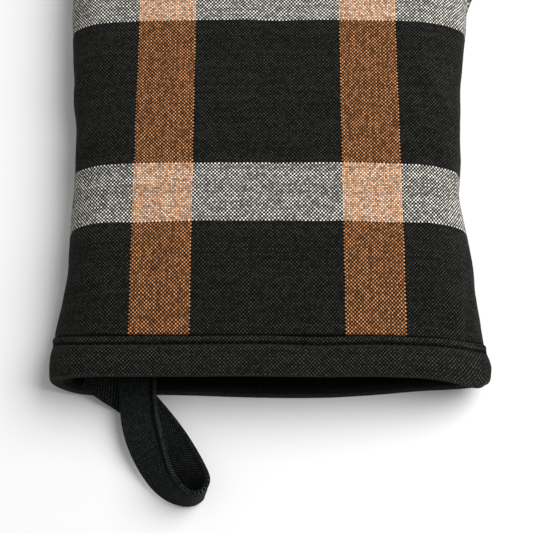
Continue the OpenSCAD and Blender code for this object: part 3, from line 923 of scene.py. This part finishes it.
def ring(y, inset, depth):
    """Points round the cuff at height y, over the front from left to right and back under the back."""
    low, high = left_x(max(y, 0), inset), right_x(max(y, 0), inset)
    line = []
    for n in range(RING_STEPS):
        q = ring_share(n)
        u, side = (q, FRONT) if q <= 1 else (2 - q, BACK)
        x = mix(low, high, u)
        reach = (TOP_Z - SEAM_Z if side == FRONT else SEAM_Z) - CUFF_LIFT
        z = SEAM_Z + side * (reach - depth) * rise(min(x - low, high - x), inset)
        line.append((x, y, z))
    return np.array(line)


def ring_normals(line):
    along = np.roll(line, -1, axis=0) - np.roll(line, 1, axis=0)
    return unit(np.stack([-along[:, 2], np.zeros(len(line)), along[:, 0]], 1))


def rim_sag(line):
    return SAG * ripple(np.column_stack([line[:, 0], line[:, 2] * 3, np.zeros(len(line))]), SAG_SIZE, 5)


def binding_rows():
    """Rings of points from the sewn upper edge, down the outer side, round the fold and up inside."""
    outer, inner = ring(0, 0, 0), ring(0, INNER_INSET, CAVITY_DEPTH * CUFF_SQUEEZE + INNER_GAP)
    out = ring_normals(outer)
    sag = rim_sag(outer)
    sideways = np.abs(out[:, 0])
    pucker = ripple(outer[:, [0, 2, 1]], 5.5, 6)
    rows = []
    for y, offset in OUTER_PROFILE:
        base = ring(y, 0, 0)
        soft = min(offset, 1)
        puffed = offset + pucker * (FINE_PUCKER + STITCH_PUCKER * bell(y - GROOVE_Y, 2.2)) * soft
        puffed = puffed + SOFT_PUCKER * ripple(base + np.array([0, 0, 40]), 16, 7) * soft
        tight_sides = 1 - SIDE_TIGHTNESS * smooth((y - 4) / 10) * sideways
        least = LEAST_DISTANCE + (SIDE_DISTANCE * sideways if y < 15 else 0)
        row = base + out * np.maximum(puffed * tight_sides, least)[:, None]
        row[:, 1] += sag * mix(1, SEWN_SAG, smooth((y - 5) / 8))
        rows.append(row)
    for y, share, offset in FOLD_PROFILE:
        row = mix(outer, inner, share) + out * offset
        row[:, 1] = y + sag
        rows.append(row)
    for y in INNER_HEIGHTS:
        row = inner.copy()
        row[:, 1] = y + sag * 0.4
        rows.append(row)
    return np.array(rows)


def cuff_binding():
    """The folded strip, and its flat size in metres: the cuff's girth by the length over its rows."""
    rows = binding_rows()
    steps = np.linalg.norm(np.diff(rows, axis=0), axis=2).mean(1)
    run = np.concatenate([[0], np.cumsum(steps)])
    girth = run_along(ring(0, 0, 0))
    faces = [(a, d, c, b) for a, b, c, d in tube_faces(len(rows), RING_STEPS)]
    uvs = np.concatenate([np.column_stack([girth, np.full(RING_STEPS, along)]) for along in run])
    points = np.concatenate(rows)
    points[:, 2] = np.maximum(points[:, 2], 0.05)
    grooves = [(run[GROOVE_ROW], 1.1), (run[EDGE_ROW], 0.8)]
    # Painted highlights on the binding's fold and on the crest of its upper edge
    lit_folds = [(run[FOLD_ROW], 2.0), (run[CREST_ROW], 1.5)]
    material = folded_cloth_material("binding_cloth", BINDING_COLOUR, grooves, lit_folds, run[INSIDE_ROW])
    made = make_mesh("cuff_binding_cloth", points, faces, material, uvs)
    thicken(made, BINDING_T)
    return made, (float(girth[-1]) * MM, float(run[-1]) * MM)


# ---- thread


# A stitch's points: rings along it, each with so many sides
STITCH_RINGS, STITCH_SIDES = 7, 6
# In thread diameters: how high its middle lies and how deep its ends dive; and how much they taper
STITCH_LIFT, STITCH_DIVE, STITCH_TAPER = 0.28, 1.15, 0.35


def stitch_shape(start, end, up, diameter):
    """One stitch: a thread that dives into the cloth at both ends. Returns points and faces."""
    along = end - start
    across = unit(np.cross(unit(along), up))
    up = np.cross(across, unit(along))
    points = []
    for s in np.linspace(0, 1, STITCH_RINGS):
        from_middle = abs(2 * s - 1)
        lift = diameter * (STITCH_LIFT - STITCH_DIVE * from_middle**3)
        radius = diameter / 2 * (1 - STITCH_TAPER * from_middle**4)
        for k in range(STITCH_SIDES):
            a = 2 * math.pi * k / STITCH_SIDES
            points.append(start + along * s + up * lift + radius * (across * math.cos(a) + up * math.sin(a)))
    return points, tube_faces(STITCH_RINGS, STITCH_SIDES) + end_caps(STITCH_RINGS, STITCH_SIDES)


# Pitch, length and thread of each row of stitches, and the bar tack's thread
BINDING_STITCH, STRAP_STITCH, SEAM_STITCH = (3.0, 2.3, 0.42), (2.9, 2.2, 0.4), (3.2, 2.7, 0.4)
TACK_THREAD = 0.42
# The side seam's two rows of stitches: how far above its middle, and how far inside the outline
SEAM_LIFT, SHELL_SEAM, LINING_SEAM = 0.55, 2.6, LINING_DEPTH + 0.4


def stitches(name, line, ups, stitch, material, closed=False, lies=True):
    """A row of stitches along a line of points, as one mesh."""
    pitch, length, diameter = stitch
    if closed:
        line, ups = np.vstack([line, line[:1]]), np.vstack([ups, ups[:1]])
    run = run_along(line)
    count = int(run[-1] // pitch)

    def at(s, values):
        return np.array([np.interp(s, run, values[:, k]) for k in range(3)])

    shapes = []
    for n in range(count):
        middle = (n + 0.5) * run[-1] / count
        start, end = at(middle - length / 2, line), at(middle + length / 2, line)
        shapes.append(stitch_shape(start, end, unit(at(middle, ups)), diameter))
    return make_mesh(name, *joined(shapes), material, lies=lies)


def binding_thread(material):
    """The row of topstitching that lies in the binding's groove."""
    base = ring(GROOVE_Y - 0.1, 0, 0)
    out = ring_normals(ring(0, 0, 0))
    line = base + out * 0.2
    line[:, 1] += rim_sag(base) * SEWN_SAG
    return stitches("binding_thread", line, out, BINDING_STITCH, material, closed=True)


# ---- hanging loop

# Left and right edge of the strap from its upper end, round the bend, to its lower end
STRAP_STATIONS = [
    ((-61.5, 12, 8.9), (-46, 12, 8.9)), ((-61.5, 5, 8.9), (-46, 5, 8.9)),
    ((-61.4, -2.9, 8.9), (-45.7, -2.9, 9.1)), ((-60.8, -10, 7.7), (-44.9, -8.8, 9.8)),
    ((-59.6, -17.4, 6.8), (-43.8, -14.8, 10.6)), ((-57.4, -24.4, 5.8), (-42.6, -19.4, 11)),
    ((-54.2, -31.2, 4.6), (-41.4, -24.4, 11.4)), ((-50.2, -37.4, 3.3), (-39.9, -30.2, 12.2)),
    ((-45.4, -42.7, 2.2), (-38.1, -35.4, 13.4)), ((-40, -46.2, 1.4), (-35.7, -40.2, 15)),
    ((-34.4, -47.8, 1.1), (-32.4, -44.2, 16)), ((-30, -47.5, 1.1), (-29, -45.8, 16.2)),
    ((-27.9, -46.4, 1.1), (-25.9, -44.8, 16.2)), ((-26.4, -44.9, 1.1), (-24, -42.2, 16)),
    ((-26.8, -43.6, 1.1), (-23.5, -39.2, 15.3)), ((-30.8, -42.8, 1.1), (-24.4, -35.6, 13.6)),
    ((-36, -39.7, 1.1), (-26.5, -30.6, 11.2)), ((-41.4, -33.4, 1.1), (-30, -23.9, 8.8)),
    ((-46.5, -25.6, 1.1), (-34.4, -16.8, 7)), ((-53, -17.4, 1.1), (-40.4, -8.8, 5.8)),
    ((-61, -9.2, 1.8), (-46.3, -2.2, 6.3)), ((-69.5, -4.1, 4.6), (-53.5, 3.5, 7)),
    ((-76, 0.3, 6.7), (-62, 8, 7.2)), ((-80, 5.5, 7.4), (-68, 13, 7.3)),
]
# Where the stitches run across the strap, as a share of its width
STITCH_SHARE = 0.845
# Across the strap from its left edge: share of the width, height of the outer side above its middle
STRAP_PROFILE = [
    (0, 0), (0.015, 0.5), (0.05, 0.78), (0.1, 0.8), (0.14, 0.66), (0.19, 0.78), (0.3, 0.86),
    (0.5, 0.9), (0.68, 0.88), (0.8, 0.78), (0.845, 0.52), (0.88, 0.8), (0.925, 1.1), (0.965, 1.0),
    (0.99, 0.6), (1, 0),
]
# Places between two stations
STRAP_STEPS = 8
# The underside's height as a share of the outer side's, and how unevenly thick the strap is
STRAP_UNDERSIDE, STRAP_UNEVEN = -0.85, 0.12
# Its weave is finer than the mitt's
STRAP_WEAVE = 0.8


def strap_frames():
    """Edges, outward normals and middles of the strap at closely spaced places."""
    stations = np.array(STRAP_STATIONS, float)
    s = np.linspace(0, len(stations) - 1, STRAP_STEPS * (len(stations) - 1) + 1)
    edges = curve_through(stations, s)
    left, right = edges[:, 0], edges[:, 1]
    middle = (left + right) / 2
    along = np.gradient(middle, axis=0)
    normal = unit(np.cross(along, left - right))
    if normal[0, 2] < 0:
        normal = -normal
    return left, right, normal, middle


def strap():
    """The folded strap, and its flat size in metres."""
    left, right, normal, middle = strap_frames()
    run = run_along(middle)
    profile = STRAP_PROFILE + [(share, STRAP_UNDERSIDE * high) for share, high in STRAP_PROFILE[-2:0:-1]]
    count = len(profile)
    points, uvs = [], []
    width = np.linalg.norm(right - left, axis=1)
    for k in range(len(middle)):
        for n, (share, high) in enumerate(profile):
            uneven = 1 + STRAP_UNEVEN * noise.noise(Vector((run[k] / 4, share * 5, 3 if high > 0 else 9)))
            points.append(mix(left[k], right[k], share) + normal[k] * high * uneven)
            girth = (share if n < len(STRAP_PROFILE) else 2 - share) * width.mean()
            uvs.append((girth, run[k]))
    faces = tube_faces(len(middle), count) + end_caps(len(middle), count)
    wide = float(width.mean())
    grooves = [(STITCH_SHARE * wide, 0.9)]
    # A painted highlight along the strap's raised edge
    lit_folds = [(0.95 * wide, 2.4)]
    material = folded_cloth_material("strap_cloth", STRAP_COLOUR, grooves, lit_folds, axis=0, scale=STRAP_WEAVE)
    made = make_mesh("loop_strap", points, faces, material, uvs, lies=False)
    return made, (wide * MM, float(run[-1]) * MM)


def strap_thread(material):
    """The strap's edge stitching."""
    left, right, normal, _ = strap_frames()
    line = mix(left, right, STITCH_SHARE) + normal * 0.45
    return stitches("loop_thread", line, normal, STRAP_STITCH, material, lies=False)


def seam_thread(name, t, material):
    """The row of lockstitches round the side seam, t inside the outline, on the seam's upper cloth."""
    line = np.column_stack([plan(t)[RIM], np.full(len(RIM), SEAM_Z + SEAM_LIFT)])
    line = line[line[:, 1] > BINDING_TOP]
    ups = np.tile([0.0, 0, 1], (len(line), 1))
    return stitches(name, line, ups, SEAM_STITCH, material)


TACK_THREADS, TACK_LEFT, TACK_PITCH, TACK_LEAN = 13, -60, 1.05, 0.5
TACK_LOW, TACK_HIGH, TACK_Z = 5.4, 8.6, 9.7


def bartack(material):
    """Threads side by side across the strap's sewn end, leaning a little one way and the other."""
    shapes = []
    for n in range(TACK_THREADS):
        x = TACK_LEFT + n * TACK_PITCH
        lean = TACK_LEAN if n % 2 else -TACK_LEAN
        start, end = np.array([x - lean, TACK_LOW, TACK_Z]), np.array([x + lean, TACK_HIGH, TACK_Z])
        shapes.append(stitch_shape(start, end, np.array([0, 0, 1.0]), TACK_THREAD))
    return make_mesh("bartack_thread", *joined(shapes), material)


# ---- the object


def on_mitt(made, nodes):
    """A piece of the mitt's body that stands for those CAD nodes."""
    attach(made, "mitt")
    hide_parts(*nodes)


plaid = {
    FRONT: plaid_material("plaid_cloth_front", WARP_STRIPE["middle"]),
    BACK: plaid_material("plaid_cloth_back", WARP_STRIPE["middle"] + BACK_SHIFT),
}
lining_cloth = dark_cloth_material("lining_cloth", LINING_COLOUR)
wadding = wadding_material()
thread = thread_material("thread", THREAD_COLOUR)

cloth_points, seam_distance = {}, {}
for side in (FRONT, BACK):
    cloth_points[side], seam_distance[side] = cloth_surface(side)
puckers = {side: 0.0 for side in (FRONT, BACK)}
puckers = simulated_puckers(cloth_points[FRONT], cloth_points[BACK], seam_distance)

for side, word in ((FRONT, "front"), (BACK, "back")):
    cloth, settled = outer_cloth(f"{word}_cloth", side, cloth_points[side], puckers[side], plaid[side])
    pad = padding(f"{word}_padding", side, settled, wadding)
    inner, inner_points = lining(f"{word}_lining_cloth", side, lining_cloth)
    on_mitt(cloth, [f"{word}_shell"])
    on_mitt(pad, [f"{word}_wadding"])
    on_mitt(inner, [f"{word}_lining"])

binding, binding_size = cuff_binding()
stitching = binding_thread(thread)
loop, loop_size = strap()
loop_stitching = strap_thread(thread)
tack = bartack(thread)
shell_seam = seam_thread("shell_seam_thread", SHELL_SEAM, thread)
lining_seam = seam_thread("lining_seam_thread", LINING_SEAM, thread)
on_mitt(binding, ["cuff_binding"])
on_mitt(stitching, ["binding_stitches"])
on_mitt(tack, ["loop_bartack"])
on_mitt(shell_seam, ["shell_seam_stitches"])
on_mitt(lining_seam, ["lining_seam_stitches"])

# The strap and its stitching keep their made shape in place, and the CAD parts that they stand for are
# hidden
for made, nodes, slot in (
    (loop, ["hanging_loop", "loop_sewn_ends"], "strap_cloth"),
    (loop_stitching, ["loop_edge_stitches"], "thread"),
):
    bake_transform(made)
    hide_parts(*nodes)

# ---- floor, light and camera

FLOOR_COLOUR, FLOOR_REACH = (0.86, 0.86, 0.86), 3000
SKY_STRENGTH = 0.42
# The point that the key light lights, in millimetres, and the light's place from it, in metres
KEY_TARGET, KEY_OFFSET = (0, 60, 0), Vector((0.86, 0.24, 1.08))
KEY_SIZE, KEY_POWER = 1.35, 25.5
# The camera leans back from straight down over its target, in millimetres about the cuff
CAMERA_TILT = math.radians(22)
CAMERA_TARGET, CAMERA_DISTANCE = (0, 47, 28), 0.6
LENS = 97.18


def floor():
    corners = FLOOR_REACH * np.array([(-1, -1, 0), (1, -1, 0), (1, 1, 0), (-1, 1, 0)])
    material = Graph("floor", roughness=0.8).finish(FLOOR_COLOUR)
    make_mesh("floor", corners, [(0, 1, 2, 3)], material, lies=False)


def key_light():
    light = bpy.data.lights.new("key", "AREA")
    light.shape = "DISK"
    light.size = KEY_SIZE
    light.energy = KEY_POWER
    target = Vector(np.array(KEY_TARGET) * MM + ORIGIN)
    add_object("key", light, target + KEY_OFFSET, (-KEY_OFFSET).to_track_quat("-Z", "Y").to_euler())


def sky():
    world = bpy.data.worlds.new("studio")
    world.use_nodes = True
    background = world.node_tree.nodes["Background"]
    background.inputs[0].default_value = (1, 1, 1, 1)
    background.inputs[1].default_value = SKY_STRENGTH
    bpy.context.scene.world = world


def camera():
    target = Vector(np.array(CAMERA_TARGET) * MM + ORIGIN)
    data = bpy.data.cameras.new("camera")
    data.lens = LENS
    data.clip_start = 0.01
    place = target + CAMERA_DISTANCE * Vector((0, -math.sin(CAMERA_TILT), math.cos(CAMERA_TILT)))
    bpy.context.scene.camera = add_object("camera", data, place, (CAMERA_TILT, 0, 0))


floor()
key_light()
sky()
camera()
